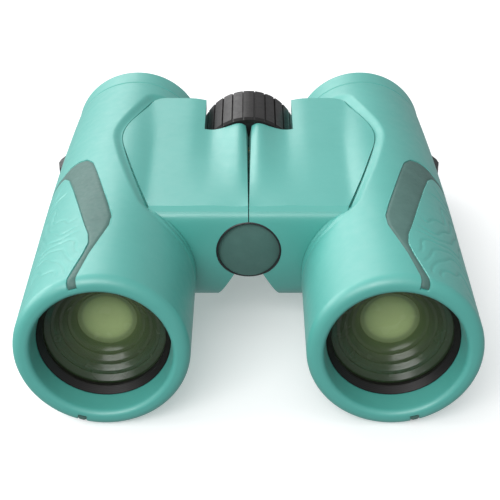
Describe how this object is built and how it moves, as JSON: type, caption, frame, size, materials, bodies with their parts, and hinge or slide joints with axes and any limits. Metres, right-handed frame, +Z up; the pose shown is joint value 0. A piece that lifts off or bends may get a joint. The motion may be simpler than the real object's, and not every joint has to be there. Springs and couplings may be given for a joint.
{
  "type": "binoculars",
  "caption": "Compact roof-prism binoculars with mint rubber armour, grey-green grip inlays, central focus wheel, folding hinge and twist-up eyecups.",
  "frame": {"origin": "bottom centre of the bounding box, on the plane of symmetry, where the barrels rest", "axes": "+X to the right seen from the objective end, +Y from the objectives to the eyepieces, +Z up"},
  "size_m": [0.1108, 0.1244, 0.041],
  "materials": {
    "mint_armour": "soft satin",
    "mint_plastic": "soft satin paint-like",
    "grip_rubber": "matt, fine texture",
    "black_plastic": "satin",
    "frame_plastic": "matt moulded",
    "black_metal": "black anodised",
    "optical_glass": "polished",
    "coated_glass": "polished, green anti-reflection coating",
    "steel": "ground",
    "brass": "turned",
    "wheel_rubber": "semi-gloss, ribbed",
    "nylon": "natural"
  },
  "bodies": {
    "left_half": {"left_housing": "frame_plastic", "left_barrel_armour": "mint_armour", "left_bridge_cover": "mint_plastic", "left_grip_inlay": "grip_rubber", "left_strap_lug": "black_plastic", "left_lens_ring": "black_metal", "left_objective_cell": "black_metal", "left_objective_crown": "coated_glass", "left_objective_flint": "optical_glass", "left_penta_prism": "optical_glass", "left_roof_prism": "optical_glass", "left_prism_cage": "black_plastic", "left_guide_rod": "steel", "left_eyepiece_tube": "black_plastic", "left_field_lens": "optical_glass", "left_eye_lens": "coated_glass", "hinge_axle": "steel", "hinge_cap": "grip_rubber", "hinge_washers": "nylon", "axle_nut": "black_plastic"},
    "right_half": {"right_housing": "frame_plastic", "right_barrel_armour": "mint_armour", "right_bridge_cover": "mint_plastic", "right_grip_inlay": "grip_rubber", "right_strap_lug": "black_plastic", "right_lens_ring": "black_metal", "right_objective_cell": "black_metal", "right_objective_crown": "coated_glass", "right_objective_flint": "optical_glass", "right_penta_prism": "optical_glass", "right_roof_prism": "optical_glass", "right_prism_cage": "black_plastic", "right_guide_rod": "steel", "right_eyepiece_tube": "black_plastic", "right_field_lens": "optical_glass", "right_eye_lens": "coated_glass"},
    "focus_wheel": {"focus_wheel_core": "black_plastic", "focus_wheel_grip": "wheel_rubber"},
    "focus_spool": {"focus_spool": "brass"},
    "diopter_dial": {"diopter_dial": "black_plastic"},
    "diopter_spool": {"diopter_spool": "brass"},
    "left_focus_cell": {"left_focus_cell": "black_metal", "left_focus_lens": "optical_glass"},
    "right_focus_carriage": {"right_focus_carriage": "black_metal"},
    "right_focus_cell": {"right_focus_cell": "black_metal", "right_focus_lens": "optical_glass"},
    "left_eyecup_ring": {"left_eyecup_guide_ring": "black_plastic"},
    "left_eyecup": {"left_eyecup_sleeve": "black_plastic", "left_eyecup_rim": "mint_armour"},
    "right_eyecup_ring": {"right_eyecup_guide_ring": "black_plastic"},
    "right_eyecup": {"right_eyecup_sleeve": "black_plastic", "right_eyecup_rim": "mint_armour"}
  },
  "joints": [
    {"name": "eye_spacing_fold", "type": "hinge", "parent": "left_half", "child": "right_half", "pos_m": [0, 0, 0.027], "axis": [0, 1, 0], "range_deg": [0, 50]},
    {"name": "focus_wheel_turn", "type": "hinge", "parent": "left_half", "child": "focus_wheel", "pos_m": [0, 0, 0.027], "axis": [0, 1, 0], "range_deg": [0, 450]},
    {"name": "focus_spool_slide", "type": "slide", "parent": "left_half", "child": "focus_spool", "axis": [0, -1, 0], "range_m": [0, 0.00471]},
    {"name": "left_focus_slide", "type": "slide", "parent": "left_half", "child": "left_focus_cell", "axis": [0, -1, 0], "range_m": [0, 0.00475]},
    {"name": "right_focus_slide", "type": "slide", "parent": "right_half", "child": "right_focus_carriage", "axis": [0, -1, 0], "range_m": [0, 0.00475]},
    {"name": "diopter_turn", "type": "hinge", "parent": "left_half", "child": "diopter_dial", "pos_m": [0, 0, 0.027], "axis": [0, 1, 0], "range_deg": [-75, 75]},
    {"name": "diopter_spool_slide", "type": "slide", "parent": "focus_spool", "child": "diopter_spool", "axis": [0, 1, 0], "range_m": [-0.001, 0.001]},
    {"name": "right_diopter_slide", "type": "slide", "parent": "right_focus_carriage", "child": "right_focus_cell", "axis": [0, 1, 0], "range_m": [-0.00098, 0.00098]},
    {"name": "left_eyecup_turn", "type": "hinge", "parent": "left_half", "child": "left_eyecup_ring", "pos_m": [-0.0338, 0.0498, 0.0205], "axis": [0, 1, 0], "range_deg": [0, 210]},
    {"name": "left_eyecup_rise", "type": "slide", "parent": "left_eyecup_ring", "child": "left_eyecup", "axis": [0, 1, 0], "range_m": [0, 0.00799]},
    {"name": "right_eyecup_turn", "type": "hinge", "parent": "right_half", "child": "right_eyecup_ring", "pos_m": [0.0338, 0.0498, 0.0205], "axis": [0, 1, 0], "range_deg": [0, 210]},
    {"name": "right_eyecup_rise", "type": "slide", "parent": "right_eyecup_ring", "child": "right_eyecup", "axis": [0, 1, 0], "range_m": [0, 0.00799]}
  ],
  "couplings": [
    {"joint": "focus_wheel_turn", "follows": "focus_spool_slide", "rad_per_m": 1666.7},
    {"joint": "left_focus_slide", "follows": "focus_spool_slide", "ratio": 1},
    {"joint": "right_focus_slide", "follows": "focus_spool_slide", "ratio": 1},
    {"joint": "diopter_turn", "follows": "right_diopter_slide", "rad_per_m": 1333.3},
    {"joint": "diopter_spool_slide", "follows": "right_diopter_slide", "ratio": 1},
    {"joint": "left_eyecup_turn", "follows": "left_eyecup_rise", "rad_per_m": 458.7},
    {"joint": "right_eyecup_turn", "follows": "right_eyecup_rise", "rad_per_m": 458.7}
  ]
}
